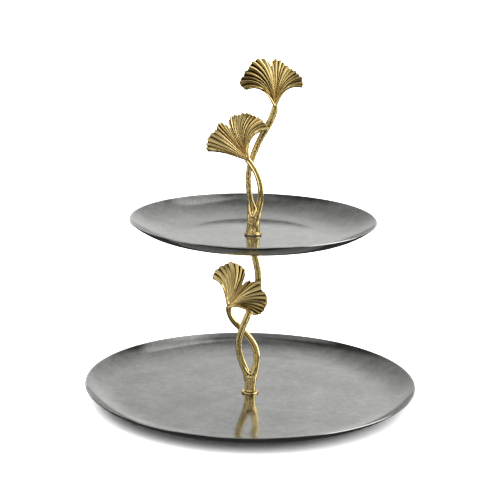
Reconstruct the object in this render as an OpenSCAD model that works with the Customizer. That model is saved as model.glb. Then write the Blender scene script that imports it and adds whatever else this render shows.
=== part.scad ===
// Two-tier cake stand: two shallow spun-steel plates on a brass stem of twisted
// twigs that end in ginkgo leaves. Millimetres, +Z up, the origin on the surface
// that the stand rests on, under the centre of both plates.

/* [Plates] */
// Diameter of the lower plate at its rim
lower_plate_d = 305; // [290:1:320]
// Diameter of the upper plate at its rim
upper_plate_d = 224; // [212:1:236]
// Depth of the lower plate, from its rim to its floor
lower_plate_depth = 12; // [10:0.5:14]
// Depth of the upper plate, from its rim to its floor
upper_plate_depth = 15; // [11:0.5:16]
// Thickness of the sheet that both plates are spun from
plate_t = 1.2; // [1:0.1:1.5]
// Width of the curved wall round the lower plate's flat floor
lower_wall_w = 28; // [24:1:36]
// Width of the curved wall round the upper plate's flat floor
upper_wall_w = 40; // [36:1:48]

/* [Heights] */
// Height of the rubber foot pads
foot_h = 4; // [4:0.5:6]
// Height from the lower plate's floor to the upper plate's floor
tier_h = 150.8; // [150:0.2:160]

/* [Stem] */
// Thread diameter of the base screw and of the joining stud
thread_d = 6; // [5:0.5:6]
// Length of the joining stud's thread that is engaged in the handle
thread_engaged = 7.5; // [6:0.5:8]
// Outer diameter of the turned brass collars
collar_d = 16; // [15.6:0.2:18]
// Thickness of the collars at their rim
collar_t = 1.8; // [1.6:0.1:2.2]

/* [Leaves] */
// Thickness of a leaf near its margin
leaf_t = 1.5; // [1.3:0.1:1.8]
// Height of the pleats that fan out over a leaf, from groove to ridge
pleat_h = 1.3; // [0.8:0.1:1.6]

/* [Hidden] */

steel_colour = "#6e6e6b";
brass_colour = "#b8923f";
zinc_colour = "#b9bcc0";
rubber_colour = "#222222";
silicone_colour = "#3a3632";

round_fn = 96;      // sides drawn on small round parts; the solids are true rounds
plate_fn = 180;     // sides drawn on the plates
arc_fn = 360;       // sides drawn on the full circle of a plate's arc
hole_slack = 0.3;   // radial room round a screw in a hole that it only passes through
thread_slack = 0.05; // radial room between the stud and the handle that turns on it
thread_r = thread_d / 2;
pass_r = thread_r + hole_slack;

washer_t = 0.5;     // soft washers that keep brass off the plates' finish
gasket_r = 9;
base_washer_t = 1;
base_washer_r = 7.5;
screw_head_t = 2;
screw_head_r = 6;
screw_in_trunk = 9; // how far the base screw reaches into the lower trunk

foot_r = 6;
foot_count = 4;
foot_circle_r = 84;

// Heights of the faces that stack up along the axis
lower_under_z = foot_h;
lower_floor_z = lower_under_z + plate_t;
lower_trunk_z = lower_floor_z + collar_t;
upper_floor_z = lower_floor_z + tier_h;
upper_under_z = upper_floor_z - plate_t;
boss_top_z = upper_under_z - washer_t;
boss_h = 7.5;
boss_z = boss_top_z - boss_h;
upper_collar_z = upper_floor_z + washer_t;
upper_trunk_z = upper_collar_z + collar_t;
stud_in_boss = 5;
stud_z = boss_top_z - stud_in_boss;
stud_top_z = upper_trunk_z + thread_engaged;

// ---------- curves ----------

// A smooth curve through a list of points, at t from 0 to 1 between points i and i + 1
function between(p, i, t) =
    let (last = len(p) - 1,
         a = p[max(i - 1, 0)],
         b = p[i],
         c = p[min(i + 1, last)],
         d = p[min(i + 2, last)])
    (2 * b + (c - a) * t + (2 * a - 5 * b + 4 * c - d) * t * t
        + (3 * b - a - 3 * c + d) * t * t * t) / 2;

// The same curve at u from 0 at its first point to 1 at its last
function along(p, u) =
    let (spans = len(p) - 1, w = u * spans, i = min(floor(w), spans - 1))
    between(p, i, w - i);

function place(q) = [q[0], q[1], q[2]];
function unit(v) = v / norm(v);

// ---------- twigs ----------

twig_sides = 14;

// The ring of points round a twig's curve at u. A point of the curve is [x, y, z, radius].
function twig_ring(p, u) =
    let (step = 0.004,
         q = along(p, u),
         way = unit(place(along(p, min(u + step, 1)) - along(p, max(u - step, 0)))),
         across = unit(cross(way, [0, 1, 0])),
         back = cross(across, way))
    [for (k = [0 : twig_sides - 1])
        let (a = 360 * k / twig_sides)
        place(q) + q[3] * (cos(a) * across + sin(a) * back)];

// A closed solid through rings that all have the same number of points
module skin(rings) {
    m = len(rings);
    n = len(rings[0]);
    points = [for (ring = rings) each ring];
    sides = [for (i = [0 : m - 2]) for (k = [0 : n - 1])
        let (l = (k + 1) % n, a = i * n + k, b = i * n + l)
        each [[a, b, b + n], [a, b + n, a + n]]];
    first_cap = [for (k = [0 : n - 1]) n - 1 - k];
    last_cap = [for (k = [0 : n - 1]) (m - 1) * n + k];
    polyhedron(points, concat([first_cap, last_cap], sides), convexity = 6);
}

module twig(p, rings) {
    color(brass_colour)
        skin([for (i = [0 : rings]) twig_ring(p, i / rings)]);
}

// The curves are written for floors at these heights
drawn_lower_floor_z = 5.2;
drawn_tier_h = 150.8;
drawn_upper_floor_z = drawn_lower_floor_z + drawn_tier_h;

// The lower stem's curves stretch with the height between the tiers
function stretched_z(z) = lower_floor_z + (z - drawn_lower_floor_z) * tier_h / drawn_tier_h;
function stretched(p) = [for (q = p) [q[0], q[1], stretched_z(q[2]), q[3]]];
// The handle's curves move up with the upper plate
function raised_z(z) = z + upper_floor_z - drawn_upper_floor_z;
function raised(p) = [for (q = p) [q[0], q[1], raised_z(q[2]), q[3]]];

support_curve = stretched([
    [-2.3, 0, 17, 2.8], [-3.9, -0.2, 25, 2.7], [-7.2, -0.8, 33, 2.55],
    [-10.2, -1.4, 42, 2.4], [-11.4, -1.9, 51, 2.35], [-10.6, -2.4, 60, 2.35],
    [-7.8, -2.5, 69, 2.45], [-3.8, -1.5, 79, 2.6], [0.4, 0.3, 90, 2.6],
    [3.9, 1.2, 100, 2.65], [5.6, 1.3, 109, 2.7], [5.6, 1.0, 118, 2.75],
    [4.1, 0.6, 127, 2.8], [2.0, 0.2, 136, 2.9], [0.4, 0, 144, 3.0], [0, 0, 149, 3.0]
]);
lower_leaf_twig_curve = stretched([
    [2.4, 0, 17, 2.8], [3.9, 0.2, 25, 2.6], [5.4, 0.8, 33, 2.4],
    [5.7, 1.4, 41, 2.35], [3.9, 2.0, 48.5, 2.35], [0.6, 2.4, 54.5, 2.35],
    [-3.7, 2.6, 60, 2.35], [-9.0, 2.5, 65.8, 2.3], [-14.4, 1.6, 71, 2.25],
    [-18.4, 0.5, 76.5, 2.2], [-20.6, -0.5, 82, 2.2], [-21.2, -1.3, 87.5, 2.3]
]);
side_leaf_twig_curve = raised([
    [3.1, 0, 170.5, 2.7], [4.2, -0.2, 178, 2.6], [6.0, -0.6, 186, 2.4],
    [6.6, -1.0, 194, 2.2], [5.8, -1.5, 202, 2.2], [3.6, -2.0, 209.5, 2.1],
    [0.3, -2.4, 216.5, 2.05], [-3.4, -2.8, 222, 2.1], [-6.4, -3.2, 226, 2.3]
]);
top_leaf_twig_curve = raised([
    [-1.9, 0, 170.5, 2.7], [-2.2, 0.2, 179, 2.5], [-3.2, 0.7, 188.5, 2.2],
    [-4.6, 1.2, 198, 2.05], [-5.2, 1.7, 207, 2.05], [-4.5, 2.1, 216, 2.05],
    [-2.2, 2.3, 225, 2.15], [1.5, 2.5, 235.5, 2.25], [6.2, 2.6, 246, 2.35],
    [11.4, 2.6, 255, 2.5], [15.4, 2.4, 263.5, 2.7], [17.3, 2.2, 271, 2.8],
    [17.8, 2.0, 277, 2.6]
]);

module support_twig() { twig(support_curve, 52); }
module lower_leaf_twig() { twig(lower_leaf_twig_curve, 36); }
module side_leaf_twig() { twig(side_leaf_twig_curve, 28); }
module top_leaf_twig() { twig(top_leaf_twig_curve, 44); }

// ---------- trunks ----------

trunk_sides = 20;

// Rings of a trunk: each section is [height, centre x, half width, half depth]
function trunk_rings(sections, z) =
    [for (s = sections)
        [for (k = [0 : trunk_sides - 1])
            let (a = -360 * k / trunk_sides)
            [s[1] + s[2] * cos(a), s[3] * sin(a), z + s[0]]]];

module trunk(sections, z, hole_r, hole_h) {
    color(brass_colour)
        difference() {
            skin(trunk_rings(sections, z));
            translate([0, 0, z - 1])
                cylinder(r = hole_r, h = hole_h + 1, $fn = round_fn);
        }
}

lower_trunk_sections = [
    [0, 0, 5.4, 5.2], [1.5, 0, 5.1, 4.8], [6, 0, 5.0, 4.5], [10, 0, 5.2, 4.3],
    [14, 0, 5.5, 3.8], [16.5, 0, 4.4, 2.6]
];
upper_trunk_sections = [
    [0, 0, 7.2, 7.2], [0.7, -0.1, 6.9, 6.8], [2.1, -0.2, 6.4, 6.1], [4.6, -0.1, 5.8, 5.3],
    [9, 0.2, 5.5, 4.8], [13, 0.7, 5.4, 4.4], [17, 1.0, 5.2, 3.8], [20, 1.3, 4.3, 2.6]
];

module lower_trunk() {
    trunk(lower_trunk_sections, lower_trunk_z, thread_r, screw_in_trunk);
}
module upper_trunk() {
    trunk(upper_trunk_sections, upper_trunk_z, thread_r + thread_slack, thread_engaged + 1);
}

// ---------- leaves ----------

// A leaf is [base, axis angle, root spread, bend, slope to the right, slope upwards, cup,
// rays]. Its rays are [angle, length] from the base to the margin, one for each pleat
// from the left edge round to the right one, seen from the front; angles are from +X
// towards +Z. The veins leave the base at a share of those angles, the root spread
// [left, right], and bend outwards; the higher the bend [left, right], the later.
steps_per_pleat = 4;
leaf_steps_out = 8;
leaf_root = 0.05; // where a leaf begins, as a share of its rays' length
scallop = 0.012;  // how far the margin waves in and out, as a share of its rays' length

function pleats(leaf) = len(leaf[7]) - 1;

function leaf_middle(leaf, s, v) =
    let (base = leaf[0],
         ray = along(leaf[7], s),
         half = ray[0] > leaf[1] ? 0 : 1,
         root = leaf[2][half],
         angle = leaf[1] + (ray[0] - leaf[1]) * (root + (1 - root) * pow(v, leaf[3][half])),
         wave = cos(360 * s * pleats(leaf)),
         r = ray[1] * v * (1 - scallop * v * wave),
         x = r * cos(angle),
         z = r * sin(angle),
         edge = 2 * s - 1,
         pleat = pleat_h / 2 * sqrt(v) * wave)
    base + [x, leaf[4] * x + leaf[5] * z - leaf[6] * edge * edge * sin(120 * v) + pleat, z];

function leaf_thickness(v) = leaf_t + 2 * pow(1 - v, 6);

// Both faces of the leaf as one grid of points: the front face first
function leaf_points(leaf) =
    [for (face = [-1, 1])
        let (rows = steps_per_pleat * pleats(leaf))
        for (i = [0 : rows])
            for (j = [0 : leaf_steps_out])
                let (v = leaf_root + (1 - leaf_root) * j / leaf_steps_out)
                leaf_middle(leaf, i / rows, v) + [0, face * leaf_thickness(v) / 2, 0]];

module leaf(shape) {
    rows = steps_per_pleat * pleats(shape);
    cols = leaf_steps_out;
    w = cols + 1;
    back = (rows + 1) * w;
    front_faces = [for (i = [0 : rows - 1]) for (j = [0 : cols - 1])
        let (a = i * w + j)
        each [[a, a + 1, a + w + 1], [a, a + w + 1, a + w]]];
    back_faces = [for (f = front_faces) [f[2] + back, f[1] + back, f[0] + back]];
    root_and_margin = [for (i = [0 : rows - 1])
        let (a = i * w, m = a + cols)
        each [[a, a + w, a + w + back], [a, a + w + back, a + back],
              [m, m + back, m + w + back], [m, m + w + back, m + w]]];
    both_sides = [for (j = [0 : cols - 1])
        let (a = j, b = rows * w + j)
        each [[a, a + back, a + 1 + back], [a, a + 1 + back, a + 1],
              [b, b + 1, b + 1 + back], [b, b + 1 + back, b + back]]];
    color(brass_colour)
        polyhedron(leaf_points(shape),
            concat(front_faces, back_faces, root_and_margin, both_sides), convexity = 8);
}

lower_leaf_base = [-21.2, -1.4, stretched_z(87.2)];
side_leaf_base = [-5.0, -3.4, raised_z(225)];
top_leaf_base = [17.8, 2.0, raised_z(272)];

lower_leaf_shape = [lower_leaf_base, 57, [0.76, 0.3], [4, 0.8], -0.2, 0.1, 4, [
    [120, 30.5], [114.5, 34.5], [108, 37], [101, 38.8], [95.5, 39.5], [89, 42.2],
    [81.5, 41.8], [76, 41], [70, 39.5], [66, 36.8], [63, 31], [60.5, 25], [58, 29],
    [55, 32.5], [50, 32.5], [46, 36.5], [39, 37.3], [31, 35.8], [23, 37.4], [17, 37],
    [11, 36], [5.5, 34.2], [0, 32.8], [-5, 30.5], [-9, 27.5], [-12, 23.7]
]];
side_leaf_shape = [side_leaf_base, 127, [0.84, 0.44], [2.9, 2.4], 0, 0.08, 5, [
    [168.3, 38], [162.6, 39.8], [157.5, 40.8], [151, 41.6], [144.5, 41], [138.5, 40],
    [134, 41.6], [130.5, 42.5], [127, 41.5], [124, 37.5], [121, 33.2], [118.5, 36.5],
    [116, 41], [111.5, 42.2], [106.5, 42], [102, 41.2], [97.5, 42.4], [92, 42.4],
    [88, 41], [84, 40], [78.5, 38.6], [73.5, 38.3], [68, 36.6], [63, 35], [58, 32]
]];
top_leaf_shape = [top_leaf_base, 88, [0.48, 0.36], [2.6, 2.3], 0.18, 0.05, 5, [
    [148.3, 31], [148, 34.7], [145.5, 38.7], [141.3, 40.3], [135.5, 40.5], [131, 42.6],
    [125, 43], [120.5, 45], [116, 45.8], [111.5, 46.4], [107, 45.4], [103, 43.5],
    [100.5, 40], [98.8, 36.2], [97, 37], [95, 41], [91.5, 43], [87, 42.1], [83, 41.4],
    [79.5, 39.2], [75.5, 38.4], [70.5, 37.1], [66, 36.5], [62, 36.8], [57.5, 36],
    [53, 35.2], [49, 35.2], [43, 32.8], [37, 29.8]
]];

module lower_leaf() { leaf(lower_leaf_shape); }
module side_leaf() { leaf(side_leaf_shape); }
module top_leaf() { leaf(top_leaf_shape); }

// ---------- plates ----------

// A plate's section: a flat floor, then one arc up to the rim, where the sheet is
// cut square to itself. depth is from the rim to the floor's top.
module plate(d, depth, wall_w, under_z) {
    arc_r = (wall_w * wall_w + depth * depth) / (2 * depth);
    sweep = asin(wall_w / arc_r);
    floor_r = d / 2 - plate_t * sin(sweep) - wall_w;
    reach = 2 * arc_r;
    color(steel_colour)
        translate([0, 0, under_z])
            rotate_extrude($fn = plate_fn) {
                translate([pass_r, 0])
                    square([floor_r - pass_r, plate_t]);
                translate([floor_r, plate_t + arc_r])
                    intersection() {
                        difference() {
                            circle(r = arc_r + plate_t, $fn = arc_fn);
                            circle(r = arc_r, $fn = arc_fn);
                        }
                        polygon([[0, 0], [0, -reach], [reach * tan(sweep), -reach]]);
                    }
            }
}

module lower_plate() {
    plate(lower_plate_d, lower_plate_depth, lower_wall_w, lower_under_z);
}
module upper_plate() {
    plate(upper_plate_d, upper_plate_depth, upper_wall_w, upper_under_z);
}

// ---------- collars, washers and fasteners ----------

module ring(outer_r, inner_r, h, z) {
    translate([0, 0, z])
        difference() {
            cylinder(r = outer_r, h = h, $fn = round_fn);
            translate([0, 0, -1])
                cylinder(r = inner_r, h = h + 2, $fn = round_fn);
        }
}

// A collar has a rounded rim that stands a little above its dished top
module collar(z) {
    rim = collar_t / 2;
    dish = 0.4;
    color(brass_colour)
        translate([0, 0, z])
            rotate_extrude($fn = round_fn) {
                translate([pass_r, 0])
                    square([collar_d / 2 - rim - pass_r, collar_t - dish]);
                intersection() {
                    translate([collar_d / 2 - rim, rim])
                        circle(r = rim, $fn = round_fn);
                    translate([pass_r, 0])
                        square([collar_d, collar_t]);
                }
            }
}

module lower_collar() { collar(lower_floor_z); }
module upper_collar() { collar(upper_collar_z); }

module foot_pads() {
    chamfer = 0.6;
    color(rubber_colour)
        for (k = [0 : foot_count - 1])
            rotate([0, 0, 45 + 360 * k / foot_count])
                translate([foot_circle_r, 0, 0])
                    rotate_extrude($fn = round_fn)
                        polygon([[0, 0], [foot_r - chamfer, 0], [foot_r, chamfer],
                                 [foot_r, foot_h], [0, foot_h]]);
}

module base_gasket() {
    color(silicone_colour)
        ring(gasket_r, pass_r, washer_t, lower_under_z - washer_t);
}
module base_washer() {
    color(zinc_colour)
        ring(base_washer_r, pass_r, base_washer_t, lower_under_z - washer_t - base_washer_t);
}

// A low-head furniture bolt with a hexagon socket, driven up from below
module base_screw() {
    head_z = lower_under_z - washer_t - base_washer_t - screw_head_t;
    tip_z = lower_trunk_z + screw_in_trunk - 1;
    edge = 0.5;
    socket_r = 2.3;
    color(zinc_colour)
        difference() {
            union() {
                translate([0, 0, head_z])
                    rotate_extrude($fn = round_fn)
                        polygon([[0, 0], [screw_head_r - edge, 0], [screw_head_r, edge],
                                 [screw_head_r, screw_head_t], [0, screw_head_t]]);
                translate([0, 0, head_z + screw_head_t])
                    cylinder(r = thread_r, h = tip_z - head_z - screw_head_t, $fn = round_fn);
            }
            translate([0, 0, head_z - 1])
                cylinder(r = socket_r, h = 1 + 1.5, $fn = 6);
        }
}

// The turned seat at the top of the support twig: a neck that spreads into a disc
module seat_boss() {
    neck_r = 3.6;
    seat_r = collar_d / 2;
    rim_z = boss_h - 2;
    chamfer_w = 1;
    chamfer_h = 0.6;
    color(brass_colour)
        translate([0, 0, boss_z])
            difference() {
                rotate_extrude($fn = round_fn)
                    polygon([[0, 0], [neck_r, 0], [neck_r + 0.3, 1.2], [neck_r + 1.3, 3.2],
                             [seat_r - chamfer_w, rim_z], [seat_r, rim_z + chamfer_h],
                             [seat_r, boss_h], [0, boss_h]]);
                translate([0, 0, boss_h - stud_in_boss])
                    cylinder(r = thread_r, h = stud_in_boss + 1, $fn = round_fn);
            }
}
module seat_washer() {
    color(silicone_colour)
        ring(collar_d / 2 - 0.6, pass_r, washer_t, boss_top_z);
}
module handle_washer() {
    color(silicone_colour)
        ring(collar_d / 2 - 0.6, pass_r, washer_t, upper_floor_z);
}

module joining_stud() {
    chamfer = 0.7;
    h = stud_top_z - stud_z;
    color(zinc_colour)
        translate([0, 0, stud_z])
            rotate_extrude($fn = round_fn)
                polygon([[0, 0], [thread_r, 0], [thread_r, h - chamfer],
                         [thread_r - chamfer, h], [0, h]]);
}

lower_plate();
foot_pads();
base_screw();
base_washer();
base_gasket();
lower_collar();
lower_trunk();
support_twig();
lower_leaf_twig();
lower_leaf();
seat_boss();
seat_washer();
joining_stud();
upper_plate();
handle_washer();
upper_collar();
upper_trunk();
side_leaf_twig();
top_leaf_twig();
side_leaf();
top_leaf();
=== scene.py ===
# The looks of the two-tier cake stand: plates of satin steel on a brass stem of
# twigs and ginkgo leaves. Blender's unit is the metre; MM turns millimetres into it.

import math

import bpy
import numpy as np
from mathutils import Matrix, Vector, noise


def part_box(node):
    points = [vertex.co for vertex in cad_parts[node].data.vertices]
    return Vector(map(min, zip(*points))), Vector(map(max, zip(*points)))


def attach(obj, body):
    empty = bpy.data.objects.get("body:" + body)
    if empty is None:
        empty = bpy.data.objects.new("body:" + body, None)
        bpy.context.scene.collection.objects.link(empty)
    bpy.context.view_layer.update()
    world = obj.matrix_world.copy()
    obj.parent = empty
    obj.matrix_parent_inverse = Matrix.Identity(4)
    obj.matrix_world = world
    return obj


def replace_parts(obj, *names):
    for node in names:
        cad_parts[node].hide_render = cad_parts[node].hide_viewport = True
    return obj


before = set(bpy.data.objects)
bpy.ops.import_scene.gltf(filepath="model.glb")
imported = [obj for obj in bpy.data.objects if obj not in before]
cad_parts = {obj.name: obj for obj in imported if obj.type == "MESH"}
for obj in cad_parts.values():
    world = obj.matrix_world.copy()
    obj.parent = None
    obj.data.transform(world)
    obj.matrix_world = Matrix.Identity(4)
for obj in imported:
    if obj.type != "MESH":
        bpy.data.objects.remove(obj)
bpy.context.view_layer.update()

MM = 0.001

# ---------- sizes taken from the frame ----------

LOWER_UNDER, LOWER_TOP = (corner.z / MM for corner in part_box("lower_plate"))
UPPER_UNDER, UPPER_TOP = (corner.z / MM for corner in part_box("upper_plate"))
LOWER_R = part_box("lower_plate")[1].x / MM
UPPER_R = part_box("upper_plate")[1].x / MM
COLLAR_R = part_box("lower_collar")[1].x / MM
LOWER_COLLAR_Z, LOWER_TRUNK_Z = (corner.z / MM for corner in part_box("lower_collar"))
UPPER_COLLAR_Z, UPPER_TRUNK_Z = (corner.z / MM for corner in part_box("upper_collar"))
STUD_Z, STUD_TOP = (corner.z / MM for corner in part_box("joining_stud"))
STUD_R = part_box("joining_stud")[1].x / MM

PLATE_T = 1.2  # thickness of the plates' sheet
PASS_R = 3.3  # radius of the holes that the screw and the stud pass through


# ---------- curves and meshes ----------

def along(points, u):
    """A smooth curve through the points, at u from 0 at the first to 1 at the last."""
    p = np.array(points, float)
    last = len(p) - 1
    w = np.clip(np.asarray(u, float), 0, 1) * last
    i = np.minimum(w.astype(int), last - 1)
    t = (w - i)[..., None]
    a, b = p[np.maximum(i - 1, 0)], p[i]
    c, d = p[np.minimum(i + 1, last)], p[np.minimum(i + 2, last)]
    cubic = (3 * b - a - 3 * c + d) * t ** 3
    return (2 * b + (c - a) * t + (2 * a - 5 * b + 4 * c - d) * t ** 2 + cubic) / 2


def new_piece(name, verts, faces, material):
    """A mesh object from points in millimetres, smooth except at its sharp edges."""
    mesh = bpy.data.meshes.new(name)
    mesh.from_pydata((np.asarray(verts) * MM).tolist(), [], faces)
    mesh.validate()
    mesh.update()
    mesh.shade_smooth()
    mesh.set_sharp_from_angle(angle=math.radians(50))
    piece = bpy.data.objects.new(name, mesh)
    bpy.context.scene.collection.objects.link(piece)
    mesh.materials.append(material)
    return piece


def set_attribute(piece, name, values):
    """Stores one number for each of a mesh's points, for its material to read."""
    layer = piece.data.attributes.new(name, "FLOAT", "POINT")
    layer.data.foreach_set("value", np.asarray(values, np.float32))


def skin(rings):
    """Points and faces of a closed solid through rings of equally many points."""
    rings = np.asarray(rings)
    m, n = rings.shape[:2]
    faces = []
    for i in range(m - 1):
        for k in range(n):
            a, b = i * n + k, i * n + (k + 1) % n
            faces.append((a, a + n, b + n, b))
    faces.append(tuple(range(n)))
    faces.append(tuple((m - 1) * n + k for k in reversed(range(n))))
    return rings.reshape(-1, 3), faces


def lathe(name, section, material, sides=192):
    """Turns a closed section of (radius, height) points round the Z axis."""
    count = len(section)
    verts = []
    for k in range(sides):
        a = 2 * math.pi * k / sides
        verts += [(r * math.cos(a), r * math.sin(a), z) for r, z in section]
    faces = []
    for k in range(sides):
        here, there = k * count, (k + 1) % sides * count
        for i in range(count):
            j = (i + 1) % count
            faces.append((here + i, there + i, there + j, here + j))
    return new_piece(name, verts, faces, material)


def stops(start, end, steps):
    """The evenly spaced values between two ends, without the ends."""
    return [start + (end - start) * k / steps for k in range(1, steps)]


def arc(cx, cz, r, start, end, steps):
    """Points of an arc about (cx, cz), with its angles in degrees from the +radius axis."""
    angles = np.radians(np.linspace(start, end, steps + 1))
    return [(cx + r * math.cos(a), cz + r * math.sin(a)) for a in angles]


# ---------- materials ----------

def node_tools(tree):
    """Short ways to add a node with some inputs set, and to join two nodes."""

    def add(kind, **inputs):
        node = tree.nodes.new(kind)
        for key, value in inputs.items():
            node.inputs[key.replace("_", " ")].default_value = value
        return node

    def join(a, out, b, into):
        tree.links.new(a.outputs[out], b.inputs[into])

    return add, join


def material(name):
    """A new material, its shader, and short ways to add and join nodes."""
    mat = bpy.data.materials.new(name)
    mat.use_nodes = True
    shader = mat.node_tree.nodes["Principled BSDF"]
    return mat, shader, *node_tools(mat.node_tree)


def ramp(add, stops):
    """A colour ramp from a list of (place, colour)."""
    node = add("ShaderNodeValToRGB")
    elements = node.color_ramp.elements
    while len(elements) < len(stops):
        elements.new(0.5)
    for element, (place, colour) in zip(elements, stops):
        element.position = place
        element.color = (*colour, 1)
    return node


def grey(v):
    return (v, v, v)


def mix(add, join, blend, share, a, b):
    """A colour mix of two (node, output) pairs; share is a number or a (node, output)."""
    node = add("ShaderNodeMix")
    node.data_type = "RGBA"
    node.blend_type = blend
    if isinstance(share, tuple):
        join(*share, node, 0)
    else:
        node.inputs[0].default_value = share
    join(*a, node, 6)
    join(*b, node, 7)
    return node, 2


def brass_material():
    """Cast, polished brass, darkened to brown in its hollows as its attribute says: partly the patina
    of antiqued brass, partly painted shade.
    """
    mat, shader, add, join = material("brass")
    shader.inputs["Metallic"].default_value = 1
    place = add("ShaderNodeTexCoord")
    groove = add("ShaderNodeAttribute")
    groove.attribute_name = "groove"
    tarnish = add("ShaderNodeTexNoise", Scale=260, Detail=5, Roughness=0.65)
    dimples = add("ShaderNodeTexNoise", Scale=1300, Detail=4, Roughness=0.6)
    for texture in (tarnish, dimples):
        join(place, "Object", texture, "Vector")
    tone = ramp(add, [
        (0.3, (0.92, 0.73, 0.34)), (0.55, (0.88, 0.68, 0.29)), (0.75, (0.76, 0.56, 0.21)),
    ])
    join(tarnish, "Fac", tone, "Fac")
    # Hollows darken to brown: partly patina, partly painted shade.
    hollow = ramp(add, [(0.2, grey(1)), (0.5, (0.5, 0.45, 0.34)), (0.9, (0.09, 0.07, 0.035))])
    join(groove, "Fac", hollow, "Fac")
    join(*mix(add, join, "MULTIPLY", 1, (tone, "Color"), (hollow, "Color")), shader, "Base Color")
    gloss = add("ShaderNodeMapRange", From_Min=0.3, From_Max=0.75, To_Min=0.08, To_Max=0.17)
    join(tarnish, "Fac", gloss, "Value")
    dull = add("ShaderNodeMath")
    dull.operation = "MULTIPLY_ADD"
    dull.inputs[1].default_value = 0.3
    join(groove, "Fac", dull, 0)
    join(gloss, "Result", dull, 2)
    join(dull, "Value", shader, "Roughness")
    bump = add("ShaderNodeBump", Strength=0.14, Distance=0.0001)
    join(dimples, "Fac", bump, "Height")
    join(bump, "Normal", shader, "Normal")
    return mat


def steel_material():
    """Gunmetal-toned satin steel: soft blotches, a sandy grain and specks."""
    mat, shader, add, join = material("plate_steel")
    shader.inputs["Metallic"].default_value = 1
    place = add("ShaderNodeTexCoord")
    blotch = add("ShaderNodeTexNoise", Scale=26, Detail=6, Roughness=0.62, Distortion=0.4)
    patch = add("ShaderNodeTexNoise", Scale=140, Detail=5, Roughness=0.7)
    grain = add("ShaderNodeTexNoise", Scale=900, Detail=3, Roughness=0.7)
    specks = add("ShaderNodeTexVoronoi", Scale=95, Randomness=1)
    for texture in (blotch, patch, grain, specks):
        join(place, "Object", texture, "Vector")
    tone = ramp(add, [
        (0.32, (0.35, 0.352, 0.335)), (0.52, (0.42, 0.422, 0.405)), (0.7, (0.475, 0.477, 0.46)),
    ])
    join(blotch, "Fac", tone, "Fac")
    cloud = ramp(add, [(0.3, grey(0.78)), (0.7, grey(1.0))])
    join(patch, "Fac", cloud, "Fac")
    fine = ramp(add, [(0.3, grey(0.68)), (0.7, grey(1.0))])
    join(grain, "Fac", fine, "Fac")
    dots = ramp(add, [(0.025, grey(0.35)), (0.055, grey(1.0))])
    join(specks, "Distance", dots, "Fac")
    colour = mix(add, join, "MULTIPLY", 1, (tone, "Color"), (cloud, "Color"))
    colour = mix(add, join, "MULTIPLY", 1, colour, (fine, "Color"))
    colour = mix(add, join, "MULTIPLY", 0.6, colour, (dots, "Color"))
    # A painted highlight: the top of the rim is mixed towards bright steel.
    edge = add("ShaderNodeAttribute")
    edge.attribute_name = "edge"
    painted_highlight = add("ShaderNodeRGB")
    painted_highlight.outputs[0].default_value = (0.6, 0.6, 0.58, 1)
    colour = mix(add, join, "MIX", (edge, "Fac"), colour, (painted_highlight, "Color"))
    join(*colour, shader, "Base Color")
    satin = add("ShaderNodeMapRange", From_Min=0.3, From_Max=0.7, To_Min=0.07, To_Max=0.15)
    join(patch, "Fac", satin, "Value")
    join(satin, "Result", shader, "Roughness")
    bump = add("ShaderNodeBump", Strength=0.2, Distance=0.0001)
    join(grain, "Fac", bump, "Height")
    join(bump, "Normal", shader, "Normal")
    return mat


def zinc_material():
    """Zinc-plated fasteners: light grey, with a faint crystalline variation."""
    mat, shader, add, join = material("zinc_steel")
    shader.inputs["Metallic"].default_value = 1
    place = add("ShaderNodeTexCoord")
    spangle = add("ShaderNodeTexVoronoi", Scale=900)
    join(place, "Object", spangle, "Vector")
    tone = ramp(add, [(0.0, (0.62, 0.64, 0.66)), (1.0, (0.74, 0.75, 0.76))])
    join(spangle, "Color", tone, "Fac")
    join(tone, "Color", shader, "Base Color")
    gloss = add("ShaderNodeMapRange", To_Min=0.25, To_Max=0.4)
    join(spangle, "Distance", gloss, "Value")
    join(gloss, "Result", shader, "Roughness")
    return mat


def rubber_material(name, colour):
    """Moulded rubber or silicone with a fine matt grain."""
    mat, shader, add, join = material(name)
    shader.inputs["Metallic"].default_value = 0
    place = add("ShaderNodeTexCoord")
    grain = add("ShaderNodeTexNoise", Scale=1800, Detail=3)
    join(place, "Object", grain, "Vector")
    light = tuple(1.5 * c for c in colour)
    tone = ramp(add, [(0.35, colour), (0.75, light)])
    join(grain, "Fac", tone, "Fac")
    join(tone, "Color", shader, "Base Color")
    gloss = add("ShaderNodeMapRange", To_Min=0.6, To_Max=0.8)
    join(grain, "Fac", gloss, "Value")
    join(gloss, "Result", shader, "Roughness")
    bump = add("ShaderNodeBump", Strength=0.3, Distance=0.00005)
    join(grain, "Fac", bump, "Height")
    join(bump, "Normal", shader, "Normal")
    return mat


BRASS = brass_material()
STEEL = steel_material()
ZINC = zinc_material()
FOOT_RUBBER = rubber_material("foot_rubber", (0.018, 0.018, 0.018))
SILICONE = rubber_material("soft_washer", (0.05, 0.047, 0.043))


# ---------- plates ----------

WALL_STEPS = 48
FLOOR_STEPS = 12
PLATE_SIDES = 288
RIM_HIGHLIGHT = 0.5  # how far the top of a rim is painted towards bright steel, as a painted highlight


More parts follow.
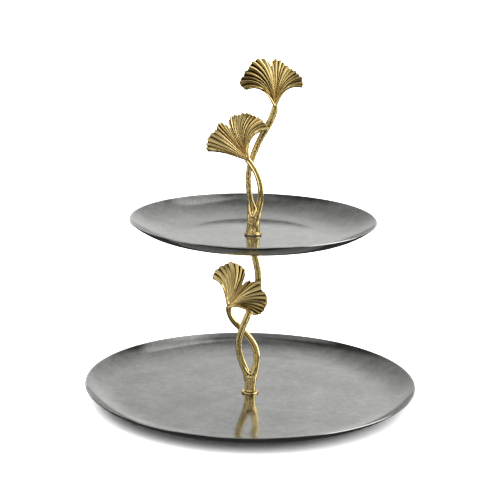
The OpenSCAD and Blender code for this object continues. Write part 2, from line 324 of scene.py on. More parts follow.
def plate(name, body, rim_r, wall_w, cone, rise, under_z, top_z):
    """A spun plate: a flat floor, a wall that steepens up to the rim, and a rounded rim.

    The share "cone" of the wall's height climbs evenly, and the rest as the power "rise"
    of the way across it.
    """
    half = PLATE_T / 2
    depth = top_z - under_z - PLATE_T
    steepest = math.atan((cone + (1 - cone) * rise) * depth / wall_w)
    floor_r = rim_r - half * (1 + math.sin(steepest)) - wall_w
    share = np.linspace(0, 1, WALL_STEPS + 1)
    climb = cone * share + (1 - cone) * share ** rise
    slope = np.arctan((cone + (1 - cone) * rise * share ** (rise - 1)) * depth / wall_w)
    inner_r = floor_r + wall_w * share
    inner_z = under_z + PLATE_T + (depth - half * (1 - math.cos(steepest))) * climb
    outer = np.stack([inner_r + PLATE_T * np.sin(slope), inner_z - PLATE_T * np.cos(slope)], -1)
    inner = np.stack([inner_r, inner_z], -1)
    rim_x, rim_z = (outer[-1] + inner[-1]) / 2
    sweep = math.degrees(steepest)
    floor_top = under_z + PLATE_T
    section = [(PASS_R, floor_top), (PASS_R, under_z)]
    section += [(r, under_z) for r in stops(PASS_R, floor_r, FLOOR_STEPS)]
    section += outer.tolist()
    section += arc(rim_x, rim_z, half, sweep - 90, sweep + 90, 10)[1:-1]
    section += inner[::-1].tolist()
    section += [(r, floor_top) for r in stops(floor_r, PASS_R, FLOOR_STEPS)]
    piece = lathe(name, section[::-1], STEEL, PLATE_SIDES)
    points = np.array([v.co for v in piece.data.vertices]) / MM
    # The top of the rim gets a painted highlight.
    near_rim = np.hypot(np.hypot(points[:, 0], points[:, 1]) - rim_x, points[:, 2] - rim_z)
    on_rim = (near_rim < half * 1.05) & (points[:, 2] > rim_z + 0.3 * half)
    set_attribute(piece, "edge", RIM_HIGHLIGHT * on_rim)
    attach(piece, body)
    return piece


lower_spun = plate("lower_plate_spun", "stand", LOWER_R, 43, 0, 3.3, LOWER_UNDER, LOWER_TOP)
upper_spun = plate("upper_plate_spun", "stand", UPPER_R, 47, 0.16, 2.8, UPPER_UNDER, UPPER_TOP)
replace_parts(lower_spun, "lower_plate")
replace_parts(upper_spun, "upper_plate")


# ---------- collars and fasteners ----------

def collar(name, body, z, top_z):
    """A turned ring whose rounded rim stands above its dished top."""
    rim = (top_z - z) / 2
    dish_z = top_z - 0.4
    section = [(PASS_R, z), (COLLAR_R - rim, z)]
    section += arc(COLLAR_R - rim, z + rim, rim, -90, 130, 22)[1:]
    section += [(COLLAR_R - 2.1, dish_z - 0.05), (COLLAR_R - 3, dish_z), (PASS_R, dish_z)]
    piece = lathe(name, section[::-1], BRASS, 96)
    points = np.array([v.co for v in piece.data.vertices]) / MM
    r = np.hypot(points[:, 0], points[:, 1])
    # The dished top inside the rim is painted darker: partly patina, partly painted shade in the
    # recess.
    dish = np.clip((COLLAR_R - 1.6 - r) / 1.2, 0, 1) * (points[:, 2] > z + rim)
    set_attribute(piece, "groove", 0.75 * dish)
    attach(piece, body)
    return piece


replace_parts(collar("lower_collar_turned", "stand", LOWER_COLLAR_Z, LOWER_TRUNK_Z), "lower_collar")
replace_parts(collar("upper_collar_turned", "handle", UPPER_COLLAR_Z, UPPER_TRUNK_Z), "upper_collar")


def threaded_stud():
    """The joining stud: a 1 mm pitch thread, within the outer radius of its CAD solid."""
    pitch, depth, tip, sides, rows_a_turn = 1.0, 0.55, 0.7, 48, 12
    rows = int((STUD_TOP - STUD_Z) / pitch * rows_a_turn)
    rings = []
    for i in range(rows + 1):
        z = STUD_Z + (STUD_TOP - STUD_Z) * i / rows
        taper = max(0, z - (STUD_TOP - tip))
        ring = []
        for k in range(sides):
            a = 2 * math.pi * k / sides
            turn = ((z - STUD_Z) / pitch - k / sides) % 1
            flank = 1 - abs(2 * turn - 1)
            r = min(STUD_R - depth * np.clip(1.25 * flank - 0.12, 0, 1), STUD_R - taper)
            ring.append((r * math.cos(a), r * math.sin(a), z))
        rings.append(ring)
    verts, faces = skin(rings)
    piece = new_piece("joining_stud_threaded", verts, [f[::-1] for f in faces], ZINC)
    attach(piece, "stand")
    return piece


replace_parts(threaded_stud(), "joining_stud")

CAD_LOOKS = {
    "foot_pads": FOOT_RUBBER,
    "base_gasket": SILICONE,
    "seat_washer": SILICONE,
    "handle_washer": SILICONE,
    "base_screw": ZINC,
    "base_washer": ZINC,
    "seat_boss": BRASS,
}
for node_name, look in CAD_LOOKS.items():
    node_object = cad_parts[node_name]
    node_object.data.materials.clear()
    node_object.data.materials.append(look)
    bevel = node_object.modifiers.new("worn_edges", "BEVEL")
    bevel.width = 0.12 * MM
    bevel.segments = 2
    bevel.angle_limit = math.radians(40)


# ---------- leaves ----------

# A leaf's rays are (angle, length) from its base to its margin, from the left edge
# round to the right one, seen from the front. Angles are from +X towards +Z. Its veins
# leave the base at a share of those angles, root, and bend outwards: (left, right).
# "pleats" is how deep each pleat is, from the left edge to the right one, and "late"
# how far out they deepen. A curl is (place across, width, millimetres forwards).
# "slope" is how far it leans back for each millimetre to the right and up, "cup" how
# far its middle lies behind its edges, and "bead" how much thicker its edges are:
# (left, right).
LEAVES = {
    "lower_leaf": {
        "body": "stand",
        "base": (-21.2, -1.4, 87.2),
        "axis": 57,
        "root": (0.76, 0.3),
        "bend": (4, 0.8),
        "slope": (-0.2, 0.1),
        "cup": 4,
        "rays": [
            (120, 30.5), (114.5, 34.5), (108, 37), (101, 38.8), (95.5, 39.5), (89, 42.2),
            (81.5, 41.8), (76, 41), (70, 39.5), (66, 36.8), (63, 31), (60.5, 25), (58, 29),
            (55, 32.5), (50, 32.5), (46, 36.5), (39, 37.3), (31, 35.8), (23, 37.4), (17, 37),
            (11, 36), (5.5, 34.2), (0, 32.8), (-5, 30.5), (-9, 27.5), (-12, 23.7),
        ],
        "pleats": [
            0.6, 0.7, 0.6, 0.7, 0.9, 1.4, 1.8, 1.8, 1.2, 0.6,
            1.0, 1.5, 1.5, 1.1, 0.9, 1.0, 0.8, 1.1, 1.5, 1.8, 1.7, 1.1,
        ],
        "late": 1.2,
        "curls": [(0.03, 0.03, 2.2), (0.17, 0.05, -1.6), (0.8, 0.03, 2.4), (0.88, 0.03, -2.2)],
        "bead": (0.9, 2.0),
        "seed": 3,
    },
    "side_leaf": {
        "body": "handle",
        "base": (-5.0, -3.4, 225),
        "axis": 127,
        "root": (0.84, 0.44),
        "bend": (2.9, 2.4),
        "slope": (0, 0.08),
        "cup": 5,
        "rays": [
            (168.3, 38), (162.6, 39.8), (157.5, 40.8), (151, 41.6), (144.5, 41), (138.5, 40),
            (134, 41.6), (130.5, 42.5), (127, 41.5), (124, 37.5), (121, 33.2), (118.5, 36.5),
            (116, 41), (111.5, 42.2), (106.5, 42), (102, 41.2), (97.5, 42.4), (92, 42.4),
            (88, 41), (84, 40), (78.5, 38.6), (73.5, 38.3), (68, 36.6), (63, 35), (58, 32),
        ],
        "pleats": [
            1.4, 1.2, 0.9, 1.3, 0.8, 1.5, 1.5, 0.7, 0.6,
            1.6, 1.8, 1.6, 1.0, 0.6, 0.8, 1.0, 1.4, 1.5, 1.1, 1.2, 0.8, 0.6,
        ],
        "late": 0.7,
        "curls": [(0.03, 0.04, -1.8), (0.7, 0.03, 2.4), (0.82, 0.03, -1.6), (0.9, 0.03, 1.8)],
        "bead": (1.2, 1.1),
        "seed": 11,
    },
    "top_leaf": {
        "body": "handle",
        "base": (17.8, 2.0, 272),
        "axis": 88,
        "root": (0.48, 0.36),
        "bend": (2.6, 2.3),
        "slope": (0.18, 0.05),
        "cup": 5,
        "rays": [
            (148.3, 31), (148, 34.7), (145.5, 38.7), (141.3, 40.3), (135.5, 40.5), (131, 42.6),
            (125, 43), (120.5, 45), (116, 45.8), (111.5, 46.4), (107, 45.4), (103, 43.5),
            (100.5, 40), (98.8, 36.2), (97, 37), (95, 41), (91.5, 43), (87, 42.1), (83, 41.4),
            (79.5, 39.2), (75.5, 38.4), (70.5, 37.1), (66, 36.5), (62, 36.8), (57.5, 36),
            (53, 35.2), (49, 35.2), (43, 32.8), (37, 29.8),
        ],
        "pleats": [
            0.9, 1.5, 1.8, 1.9, 1.9, 1.8, 1.2, 0.5, 0.6,
            0.8, 0.8, 1.1, 1.4, 1.5, 0.9, 1.2, 1.5, 1.3, 1.2, 0.8,
        ],
        "late": 0.7,
        "curls": [(0.06, 0.04, 2.0), (0.19, 0.03, 3.0), (0.43, 0.03, -2.6), (0.72, 0.05, -1.5)],
        "bead": (1.0, 1.0),
        "seed": 7,
    },
}
LEAF_T = 1.3  # thickness near the margin
LEAF_ROOT = 0.04  # where a leaf starts, as a share of its rays, inside its twig's end
PLEAT_H = 1.2  # height of a pleat of depth 1
VEIN_H = 0.18  # height of the fine ribs, three to a pleat
WARP_H = 1.2  # height of the slow waves across a leaf
SCALLOP = 0.013  # how far the margin dips between pleats, as a share of the ray
LEAF_ACROSS, LEAF_OUT = 440, 70  # steps of a leaf's mesh


def hum(x, seed):
    """A smooth random wave of x, about from -1 to 1."""
    flat = [noise.noise(Vector((v, seed * 7.3, 0.5))) for v in np.ravel(x)]
    return np.array(flat).reshape(np.shape(x))


def leaf_middle(leaf, s, v):
    """The unpleated middle of a leaf, at s across it and v out from its base."""
    s, v = np.broadcast_arrays(s, v)
    ray = along(leaf["rays"], s)
    angle, length = ray[..., 0], ray[..., 1]
    left = angle > leaf["axis"]
    root = np.where(left, *leaf["root"])
    bend = root + (1 - root) * v ** np.where(left, *leaf["bend"])
    angle = np.radians(leaf["axis"] + (angle - leaf["axis"]) * bend)
    wave = np.cos(2 * math.pi * s * len(leaf["pleats"]))
    r = length * v * (1 - SCALLOP * v * wave)
    x, z = r * np.cos(angle), r * np.sin(angle)
    edge = 2 * s - 1
    y = leaf["slope"][0] * x + leaf["slope"][1] * z
    y = y - leaf["cup"] * edge ** 2 * np.sin(math.radians(120) * v)
    y = y + WARP_H * hum(s[:, :1] * 5, leaf["seed"]) * v ** 2
    for place, width, forwards in leaf["curls"]:
        y = y - forwards * np.exp(-((s - place) / width) ** 2) * v ** 6
    return np.stack([x, y, z], -1) + np.array(leaf["base"])


def leaf_relief(leaf, s, v):
    """How far the pleats stand forwards of the middle, and how dark the brass is painted in their
    grooves: patina and painted shade.
    """
    count = len(leaf["pleats"])
    depth = along([(d,) for d in leaf["pleats"]], s)[..., 0]
    t = s * count + 0.22 * hum(s * count * 0.6, leaf["seed"] + 1)
    climb = np.abs(np.sin(math.pi * t))
    grown = np.clip((v - 0.08) / 0.92, 0, 1) ** leaf["late"]
    ridge = climb ** (0.4 + 0.35 * depth)
    fine = np.abs(np.sin(3 * math.pi * t))
    relief = PLEAT_H * (ridge - 0.6) * depth * grown + VEIN_H * fine * grown
    # Darker deep in the pleats' grooves and between the fine ribs: patina and painted shade.
    groove = (1 - climb) ** (3.2 - 1.5 * depth) * np.clip(depth * 2 * grown, 0, 1.1)
    groove = np.maximum(groove, 0.7 * (1 - fine) ** 2 * np.sqrt(grown))
    return relief, groove


def leaf_body(leaf, middle, v):
    """Half a leaf's thickness, round at its edges, and how far its bead stands forwards."""
    step = np.linalg.norm(np.diff(middle, axis=0), axis=-1)
    from_left = np.vstack([np.zeros(middle.shape[1]), np.cumsum(step, axis=0)])
    from_right = from_left[-1] - from_left
    to_margin = np.linalg.norm(middle - middle[:, -1:], axis=-1)
    bead = sum(
        height * np.exp(-((side - 0.9) / 0.8) ** 2)
        for height, side in zip(leaf["bead"], (from_left, from_right))
    ) * (1 - v ** 6)
    half = (LEAF_T + 1.4 * (1 - v) ** 5 + bead) / 2
    near = np.clip(np.minimum(np.minimum(from_left, from_right), to_margin) / half, 0, 1)
    return half * np.sqrt(1 - (1 - near) ** 2), 0.4 * bead * near


def sheet_faces(rows, cols):
    """Faces of a closed sheet, and which of its points have a back one of their own."""
    inner = np.zeros((rows, cols), bool)
    inner[1:-1, :-1] = True
    on_front = np.arange(rows * cols).reshape(rows, cols)
    on_back = on_front.copy()
    on_back[inner] = rows * cols + np.arange(inner.sum())
    faces = []
    for i in range(rows - 1):
        for j in range(cols - 1):
            for k, order in ((on_front, 1), (on_back, -1)):
                ring = (k[i, j], k[i, j + 1], k[i + 1, j + 1], k[i + 1, j])
                faces.append(tuple(int(q) for q in ring[::order]))
        ring = (on_front[i, 0], on_front[i + 1, 0], on_back[i + 1, 0], on_back[i, 0])
        faces.append(tuple(int(q) for q in dict.fromkeys(ring)))
    return faces, inner


def leaf_piece(name):
    """A pleated ginkgo leaf with rounded edges, as one closed skin."""
    leaf = LEAVES[name]
    even = np.linspace(0, 1, LEAF_ACROSS + 1)
    s = (0.85 * even + 0.15 * (1 - np.cos(math.pi * even)) / 2)[:, None]
    out = np.sin(np.linspace(0, math.pi / 2, LEAF_OUT + 1))
    v = (LEAF_ROOT + (1 - LEAF_ROOT) * out)[None, :]
    middle = leaf_middle(leaf, s, v)
    relief, groove = leaf_relief(leaf, s, v)
    forwards = np.cross(np.gradient(middle, axis=1), np.gradient(middle, axis=0))
    forwards /= np.linalg.norm(forwards, axis=-1, keepdims=True)
    forwards *= -np.sign(forwards[..., 1:2])
    half, bead = leaf_body(leaf, middle, v)
    front = middle + forwards * (relief + bead + half)[..., None]
    back = middle + forwards * (relief + bead - half)[..., None]
    faces, inner = sheet_faces(s.size, v.size)
    verts = np.vstack([front.reshape(-1, 3), back[inner]])
    piece = new_piece(name + "_cast", verts, faces, BRASS)
    # The patina and painted shade of the grooves, fainter on the back.
    set_attribute(piece, "groove", np.concatenate([groove.ravel(), 0.7 * groove[inner]]))
    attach(piece, leaf["body"])
    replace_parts(piece, name)
    return piece


for leaf_name in LEAVES:
    leaf_piece(leaf_name)


# ---------- twigs and trunks ----------

# A twig's curve is (x, y, height above the table, radius) from its trunk to its end
SUPPORT_CURVE = [
    (-2.3, 0, 17, 2.8), (-3.9, -0.2, 25, 2.7), (-7.2, -0.8, 33, 2.55),
    (-10.2, -1.4, 42, 2.4), (-11.4, -1.9, 51, 2.35), (-10.6, -2.4, 60, 2.35),
    (-7.8, -2.5, 69, 2.45), (-3.8, -1.5, 79, 2.6), (0.4, 0.3, 90, 2.6),
    (3.9, 1.2, 100, 2.65), (5.6, 1.3, 109, 2.7), (5.6, 1.0, 118, 2.75),
    (4.1, 0.6, 127, 2.8), (2.0, 0.2, 136, 2.9), (0.4, 0, 144, 3.0), (0, 0, 149, 3.0),
]
LOWER_LEAF_CURVE = [
    (2.4, 0, 17, 2.8), (3.9, 0.2, 25, 2.6), (5.4, 0.8, 33, 2.4),
    (5.7, 1.4, 41, 2.35), (3.9, 2.0, 48.5, 2.35), (0.6, 2.4, 54.5, 2.35),
    (-3.7, 2.6, 60, 2.35), (-9.0, 2.5, 65.8, 2.3), (-14.4, 1.6, 71, 2.25),
    (-18.4, 0.5, 76.5, 2.2), (-20.6, -0.5, 82, 2.2), (-21.2, -1.3, 87.5, 2.3),
]
SIDE_LEAF_CURVE = [
    (3.1, 0, 170.5, 2.7), (4.2, -0.2, 178, 2.6), (6.0, -0.6, 186, 2.4),
    (6.6, -1.0, 194, 2.2), (5.8, -1.5, 202, 2.2), (3.6, -2.0, 209.5, 2.1),
    (0.3, -2.4, 216.5, 2.05), (-3.4, -2.8, 222, 2.1), (-6.4, -3.2, 226, 2.3),
]
TOP_LEAF_CURVE = [
    (-1.9, 0, 170.5, 2.7), (-2.2, 0.2, 179, 2.5), (-3.2, 0.7, 188.5, 2.2),
    (-4.6, 1.2, 198, 2.05), (-5.2, 1.7, 207, 2.05), (-4.5, 2.1, 216, 2.05),
    (-2.2, 2.3, 225, 2.15), (1.5, 2.5, 235.5, 2.25), (6.2, 2.6, 246, 2.35),
    (11.4, 2.6, 255, 2.5), (15.4, 2.4, 263.5, 2.6), (17.3, 2.2, 270, 2.6),
    (17.9, 2.0, 275, 1.6),
]
# A trunk's sections are (height above its foot, centre x, half width, half depth)
LOWER_TRUNK = [
    (0, 0, 5.4, 5.2), (1.5, 0, 5.1, 4.8), (6, 0, 5.0, 4.5), (10, 0, 5.2, 4.3),
    (14, 0, 5.5, 3.8), (16.5, 0, 3.6, 2.4), (19, 0, 1.4, 1.4),
]
UPPER_TRUNK = [
    (0, 0, 7.0, 6.8), (0.5, 0, 6.5, 6.2), (1.4, 0, 6.2, 5.7), (4.6, 0.1, 5.9, 5.2),
    (9, 0.3, 5.6, 4.8), (13, 0.7, 5.4, 4.4), (17, 1.0, 5.2, 3.8), (20, 1.3, 4.3, 2.6),
]


def across(line):
    """At each point of a curve: a unit vector across it, square to Y, and one square to both."""
    way = np.gradient(line, axis=0)
    way /= np.linalg.norm(way, axis=1, keepdims=True)
    side = np.cross(way, (0, 1, 0))
    side /= np.linalg.norm(side, axis=1, keepdims=True)
    return side, np.cross(side, way)


def rod(points, sides=24):
    """A round rod along a smooth curve of (x, y, z, radius) points."""
    q = along(points, np.linspace(0, 1, 10 * len(points)))
    side, back = across(q[:, :3])
    a = np.linspace(0, 2 * math.pi, sides + 1)[:-1, None, None]
    ring = np.cos(a) * side + np.sin(a) * back
    return skin((q[:, :3] + q[:, 3:] * ring).transpose(1, 0, 2))


# A twig's two rods: (place across the twig, radius) as shares of the twig's radius
THICK_ROD = (-0.42, 0.88)
THIN_ROD = (0.86, 0.54)


def limb(curve, lean, twist):
    """A twig: a thick rod with a thin one grown along it, which slowly winds round.

    The thin rod lies at the left where its angle is 0, and at the front where it is 270.
    """
    u = np.linspace(0, 1, 6 * len(curve))
    q = along(curve, u)
    side, back = across(q[:, :3])
    turn = np.radians(lean + twist * u)[:, None]
    apart = np.cos(turn) * side + np.sin(turn) * back
    r = q[:, 3:]
    thick, thin = (
        np.hstack([q[:, :3] + place * r * apart, share * r]) for place, share in (THICK_ROD, THIN_ROD)
    )
    return [rod(thick), rod(thin, 16)]


def strand(leaf, s, reach, thick):
    """The rolled edge of a leaf, from inside its twig's end out along the leaf's side."""
    v = np.linspace(0.0, reach, 12)
    line = leaf_middle(leaf, np.full((1, 12), s), v[None, :])[0]
    r = thick * (1 - 0.7 * v / reach)
    return rod(np.hstack([line, r[:, None]]), 16)


TRUNK_ROWS, TRUNK_SIDES = 60, 64
DENT = 0.12  # how far a trunk's front is hollowed, as a share of its depth


def trunk(sections, foot_z):
    """A trunk whose front and back are hollowed between its two edges."""
    table = np.array(sections, float)
    heights = np.linspace(0, table[-1, 0], TRUNK_ROWS)
    a = np.linspace(0, 2 * math.pi, TRUNK_SIDES + 1)[:-1]
    rings = []
    for h in heights:
        cx, wide, deep = (np.interp(h, table[:, 0], table[:, k]) for k in (1, 2, 3))
        dent = DENT * np.exp(-((np.cos(a) - 0.05) / 0.3) ** 2) * min(1, h / 4)
        flat = np.full_like(a, foot_z + h)
        rings.append(np.stack([cx + wide * np.cos(a), deep * np.sin(a) * (1 - dent), flat], -1))
    return skin(np.array(rings)[:, ::-1])


def distance_to(points, curves):
    """How far each point is from the nearest of some curves."""
    line = np.vstack([along(curve, np.linspace(0, 1, 80))[:, :3] for curve in curves])
    return np.sqrt(((points[:, None, :] - line[None, :, :]) ** 2).sum(-1).min(1))


VOXEL = 0.24  # of the mesh that fuses a stem's rods, in millimetres
BARK_LEAST, BARK_MOST = 0.02, 0.24  # height of the bark on smooth and on rough twigs
HOLLOW_REACH = 8  # steps of smoothing that a point is compared with, to tell a hollow
HOLLOW_GAIN, PIT_GAIN = 17, 1.8  # how much darker a millimetre of hollow and a pit are painted: patina and painted shade


def fused_piece(name, solids):
    """Fuses solids into one skin, a little softened where they meet."""
    verts, faces, base = [], [], 0
    for points, polygons in solids:
        verts.append(points)
        faces += [tuple(int(i) + base for i in f) for f in polygons]
        base += len(points)
    piece = new_piece(name, np.vstack(verts), faces, BRASS)
    fuse = piece.modifiers.new("fuse", "REMESH")
    fuse.mode = "VOXEL"
    fuse.voxel_size = VOXEL * MM
    soften = piece.modifiers.new("soften", "SMOOTH")
    soften.factor = 0.5
    soften.iterations = 2
    graph = bpy.context.evaluated_depsgraph_get()
    fused = bpy.data.meshes.new_from_object(piece.evaluated_get(graph))
    piece.modifiers.clear()
    piece.data = fused
    fused.materials.clear()
    fused.materials.append(BRASS)
    return piece


def bark_at(p):
    """How high the bark stands at a point: long low ridges with a finer grain on them."""
    long_ridges = noise.noise(Vector((p[0] * 1.3, p[1] * 1.3, p[2] * 0.5)))
    grain = noise.noise(Vector((p[0] * 2.9, p[1] * 2.9, p[2] * 1.5 + 9)))
    return long_ridges + 0.7 * grain


def casting(name, body, nodes, solids, rough, smooth):
    """A stem cast in one: its solids fused, and roughened like bark near the rough curves."""
    piece = fused_piece(name, solids)
    mesh = piece.data
    points = np.array([v.co for v in mesh.vertices]) / MM
    normals = np.array([v.normal for v in mesh.vertices])
    bark = np.array([bark_at(p) for p in points])
    nearer = distance_to(points, smooth) - distance_to(points, rough)
    amount = BARK_LEAST + (BARK_MOST - BARK_LEAST) * np.clip(0.5 + nearer / 2, 0, 1)
    pits = np.clip(-bark - 0.15, 0, 1)
    points = points + normals * (amount * (0.5 * bark - 1.6 * pits))[:, None]
    mesh.vertices.foreach_set("co", (points * MM).ravel())
    mesh.update()
    mesh.shade_smooth()
    # Hollows and bark pits are painted darker: patina and painted shade.
    set_attribute(piece, "groove", groove_of(mesh, pits * amount / 0.3))
    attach(piece, body)
    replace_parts(piece, *nodes)
    return piece


def groove_of(mesh, pits):
    """How hollow the surface is round each point, 0 on a ridge and 1 deep in a groove, for the brass
    to be painted darker there: patina and painted shade.
    """
    points = np.array([v.co for v in mesh.vertices])
    normals = np.array([v.normal for v in mesh.vertices])
    edges = np.array([e.vertices for e in mesh.edges])
    smooth = points
    for _ in range(HOLLOW_REACH):
        total, count = np.zeros_like(points), np.zeros(len(points))
        for a, b in ((0, 1), (1, 0)):
            np.add.at(total, edges[:, a], smooth[edges[:, b]])
            np.add.at(count, edges[:, a], 1)
        smooth = total / count[:, None]
    hollow = np.einsum("ij,ij->i", smooth - points, normals) / MM
    return np.clip(hollow * HOLLOW_GAIN + PIT_GAIN * pits, 0, 0.95)


# Rods that run down the front of a trunk, and round its fork, to give it its ridges
LOWER_STRIPS = [
    [(-3.9, -0.2, 25, 2.4), (-3.2, -1.2, 18, 2.0), (-3.4, -2.4, 12, 1.4), (-3.8, -2.8, 7, 1.2)],
    [(3.9, 0.2, 25, 2.4), (3.4, -1.0, 18, 2.1), (3.1, -2.6, 12, 1.6), (3.3, -3.0, 7, 1.4)],
]
LOWER_FORK = [
    (-7.6, -1.8, 35, 0.8), (-5.8, -2.2, 31, 0.95), (-3.6, -2.7, 27, 1.0),
    (-1.4, -3.0, 24.4, 1.05), (0.4, -2.8, 23.8, 0.95), (2.2, -2.2, 26.6, 0.85), (3.8, -1.6, 31, 0.75),
]
UPPER_STRIPS = [
    [(-2.3, 0, 178, 2.4), (-3.4, -1.4, 170, 2.0), (-4.0, -2.8, 164, 1.5), (-4.6, -3.0, 159, 1.2)],
    [(4.2, -0.2, 178, 2.4), (3.7, -1.6, 170, 2.1), (3.6, -3.1, 164.5, 1.8), (4.4, -3.6, 159.2, 1.5)],
]
UPPER_FORK = [
    (-4.0, -1.8, 184, 0.8), (-3.6, -3.2, 178.5, 0.95), (-2.7, -4.1, 175, 1.05),
    (-1.2, -4.5, 173.4, 1.1), (0.4, -4.2, 174.8, 1.05), (1.6, -3.4, 177.5, 0.95),
    (2.5, -2.2, 181, 0.8),
]
UPPER_SINEW = [
    (-2.4, -1.4, 195, 0.7), (-1.4, -1.9, 189.5, 0.8), (0.2, -2.3, 185, 0.85),
    (1.9, -2.3, 181.2, 0.9), (3.0, -1.8, 177.5, 0.8),
]
UPPER_WEB = [(-3.2, 0.4, 190, 0.8), (-1.7, 0.4, 184, 1.6), (-0.2, 0.3, 178, 2.3), (0.4, 0, 172, 2.4)]

lower = LEAVES["lower_leaf"]
casting(
    "lower_stem_cast", "stand", ("lower_trunk", "support_twig", "lower_leaf_twig"),
    [trunk(LOWER_TRUNK, LOWER_TRUNK_Z), rod(LOWER_FORK, 16), *(rod(p) for p in LOWER_STRIPS)]
    + limb(SUPPORT_CURVE, 200, 30)
    + limb(LOWER_LEAF_CURVE, -20, 60)
    + [strand(lower, 0.0, 0.55, 1.4), strand(lower, 1.0, 0.8, 1.6)],
    rough=[SUPPORT_CURVE, [(-1.5, -4, 8, 1), (-1, -4, 19, 1)]],
    smooth=[LOWER_LEAF_CURVE, LOWER_STRIPS[1], LOWER_FORK],
)
side, top = LEAVES["side_leaf"], LEAVES["top_leaf"]
casting(
    "handle_stem_cast", "handle", ("upper_trunk", "side_leaf_twig", "top_leaf_twig"),
    [trunk(UPPER_TRUNK, UPPER_TRUNK_Z), rod(UPPER_FORK, 16), rod(UPPER_SINEW, 16), rod(UPPER_WEB)]
    + [rod(p) for p in UPPER_STRIPS]
    + limb(SIDE_LEAF_CURVE, 0, -30)
    + limb(TOP_LEAF_CURVE, 205, 0)
    + [strand(side, 0.0, 0.6, 1.3), strand(side, 1.0, 0.7, 1.3)]
    + [strand(top, 0.0, 0.6, 1.4), strand(top, 1.0, 0.6, 1.4)],
    rough=[TOP_LEAF_CURVE[:8], [(-1.5, -4.5, 160, 1), (-1, -4, 172, 1)]],
    smooth=[SIDE_LEAF_CURVE, TOP_LEAF_CURVE[9:], UPPER_STRIPS[1], UPPER_FORK, UPPER_SINEW],
)


# ---------- floor, light and camera ----------

def floor():
    """A wide white table, which metal doesn't see: what it mirrors is all in the studio.

    It is painted darker close under the stand, on the side away from the light.
    """
    mat, shader, add, join = material("floor")
    shader.inputs["Roughness"].default_value = 1
    shader.inputs["Specular IOR Level"].default_value = 0
    towards_light = add("ShaderNodeCombineXYZ", X=0.45, Y=0.1, Z=0.88)
    hidden = add("ShaderNodeAmbientOcclusion", Distance=0.017)
    join(towards_light, "Vector", hidden, "Normal")
    contact = ramp(add, [
        (0.14, grey(0.1)), (0.2, grey(0.34)), (0.25, grey(0.56)), (0.4, grey(0.73)), (0.6, grey(0.8)),
    ])
    join(hidden, "AO", contact, "Fac")
    join(contact, "Color", shader, "Base Color")
    clear = add("ShaderNodeBsdfTransparent")
    rays = add("ShaderNodeLightPath")
    either = add("ShaderNodeMixShader")
    join(rays, "Is Glossy Ray", either, 0)
    join(shader, "BSDF", either, 1)
    join(clear, "BSDF", either, 2)
    out = next(n for n in mat.node_tree.nodes if n.type == "OUTPUT_MATERIAL")
    join(either, "Shader", out, "Surface")
    bpy.ops.mesh.primitive_plane_add(size=40)
    plane = bpy.context.object
    plane.name = "floor"
    plane.data.materials.append(mat)


# What shines in the metal. A panel is (from, to) in degrees round from the camera's
# side towards the right, (from, to) in height from -1 below to 1 overhead, how soft its
# sides are in radians, and its brightness. The wall behind the stand is brighter or
# darker with height, and from left to right (SIDEWAYS); both run from 0 to 1.
PANELS = [
    ((56, 106), (-0.6, 0.72), 0.1, 3.0),
    ((70, 150), (0.8, 0.93), 0.1, 0.7),
    ((-70, -25), (0.5, 0.84), 0.3, 1.0),
    ((-24, 12), (-0.7, 0.45), 0.08, 0.55),
    ((-80, -56), (-0.55, 0.5), 0.1, 1.1),
    ((-100, 100), (0.9, 1.0), 0.35, 0.34),
    ((-118, 118), (0.12, 0.6), 0.3, 0.24),
]
BACK_WALL = [
    (0.41, grey(0)), (0.49, grey(0.75)), (0.6, grey(0.98)), (0.65, grey(0.86)), (0.71, grey(0.78)),
    (0.78, grey(0.72)), (0.85, grey(0.64)), (0.91, grey(0.5)), (0.94, grey(0.32)),
    (0.965, grey(0.23)), (0.985, grey(0.3)), (1.0, grey(0.36)),
]
SIDEWAYS = [
    (0.3, grey(0.55)), (0.37, grey(0.68)), (0.46, grey(0.88)), (0.5, grey(1.0)), (0.54, grey(1.1)),
    (0.62, grey(1.0)), (0.7, grey(0.8)),
]
BEHIND = (122, 146)  # degrees round, to either side, over which that wall fades in
DARKEST = 0.045  # brightness of the studio where there is no wall and no panel
DAYLIGHT = 4.0  # what lights the table


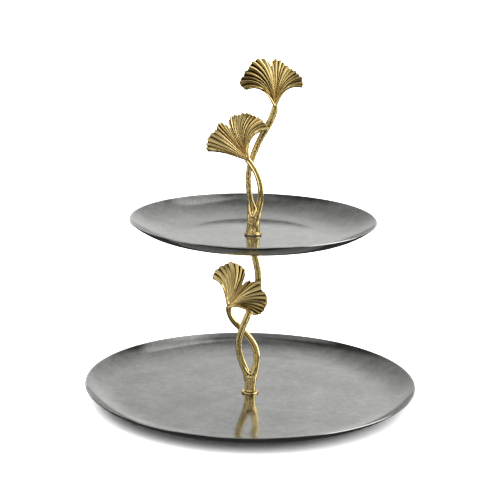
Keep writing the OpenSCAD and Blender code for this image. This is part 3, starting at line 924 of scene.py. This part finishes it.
def studio():
    """White light from all round; the metal mirrors a dark studio with a few bright panels."""
    world = bpy.data.worlds.new("studio")
    bpy.context.scene.world = world
    world.use_nodes = True
    tree = world.node_tree
    tree.nodes.clear()

    add, join = node_tools(tree)

    def maths(operation, *values):
        node = add("ShaderNodeMath")
        node.operation = operation
        for i, value in enumerate(values):
            if isinstance(value, bpy.types.NodeSocket):
                tree.links.new(value, node.inputs[i])
            else:
                node.inputs[i].default_value = value
        return node.outputs[0]

    def fade(value, start, end):
        """0 up to start, 1 from end, smooth between."""
        node = add("ShaderNodeMapRange", From_Min=start, From_Max=end)
        node.interpolation_type = "SMOOTHSTEP"
        tree.links.new(value, node.inputs["Value"])
        return node.outputs["Result"]

    def band(value, low, high, soft):
        """1 from low to high, falling softly to 0 on both sides."""
        up = fade(value, low - soft, low)
        down = fade(maths("MULTIPLY", value, -1), -high - soft, -high)
        return maths("MULTIPLY", up, down)

    place = add("ShaderNodeTexCoord")
    split = add("ShaderNodeSeparateXYZ")
    join(place, "Generated", split, "Vector")
    height = split.outputs["Z"]
    to_camera = maths("MULTIPLY", split.outputs["Y"], -1)
    round_from_camera = maths("ARCTAN2", split.outputs["X"], to_camera)
    wall = ramp(add, BACK_WALL)
    tree.links.new(maths("MULTIPLY_ADD", height, 0.5, 0.5), wall.inputs["Fac"])
    behind = fade(maths("ABSOLUTE", round_from_camera), *(math.radians(a) for a in BEHIND))
    sides = ramp(add, SIDEWAYS)
    tree.links.new(maths("MULTIPLY_ADD", split.outputs["X"], 0.5, 0.5), sides.inputs["Fac"])
    seen_wall = maths("MULTIPLY", wall.outputs["Color"], behind)
    light = maths("MULTIPLY", seen_wall, sides.outputs["Color"])
    light = maths("ADD", light, DARKEST)
    for (left, right), (low, high), soft, strength in PANELS:
        over = band(round_from_camera, math.radians(left), math.radians(right), soft)
        panel = maths("MULTIPLY", over, band(height, low, high, 0.06))
        light = maths("ADD", light, maths("MULTIPLY", panel, strength))
    rays = add("ShaderNodeLightPath")
    mirrored = maths("MULTIPLY", rays.outputs["Is Glossy Ray"], maths("SUBTRACT", light, DAYLIGHT))
    seen = maths("ADD", mirrored, DAYLIGHT)
    sky = add("ShaderNodeBackground", Color=(1, 1, 1, 1))
    tree.links.new(seen, sky.inputs["Strength"])
    out = add("ShaderNodeOutputWorld")
    join(sky, "Background", out, "Surface")


CAMERA_AT = (-0.00244, -1.4076, 0.4884)
CAMERA_PITCH, CAMERA_ROLL = math.radians(13.85), math.radians(1.04)
CAMERA_LENS, CAMERA_SENSOR = 114.84, 36


def camera():
    """The photograph's view: a long lens, a little above, and very slightly rolled."""
    data = bpy.data.cameras.new("camera")
    data.lens = CAMERA_LENS
    data.sensor_width = CAMERA_SENSOR
    data.clip_start, data.clip_end = 0.05, 60
    cam = bpy.data.objects.new("camera", data)
    bpy.context.scene.collection.objects.link(cam)
    upright = Matrix.Rotation(math.pi / 2 - CAMERA_PITCH, 4, "X")
    turn = upright @ Matrix.Rotation(CAMERA_ROLL, 4, "Z")
    cam.matrix_world = Matrix.Translation(CAMERA_AT) @ turn
    bpy.context.scene.camera = cam


floor()
studio()
camera()
bpy.context.scene.view_settings.view_transform = "Standard"

bpy.context.view_layer.update()
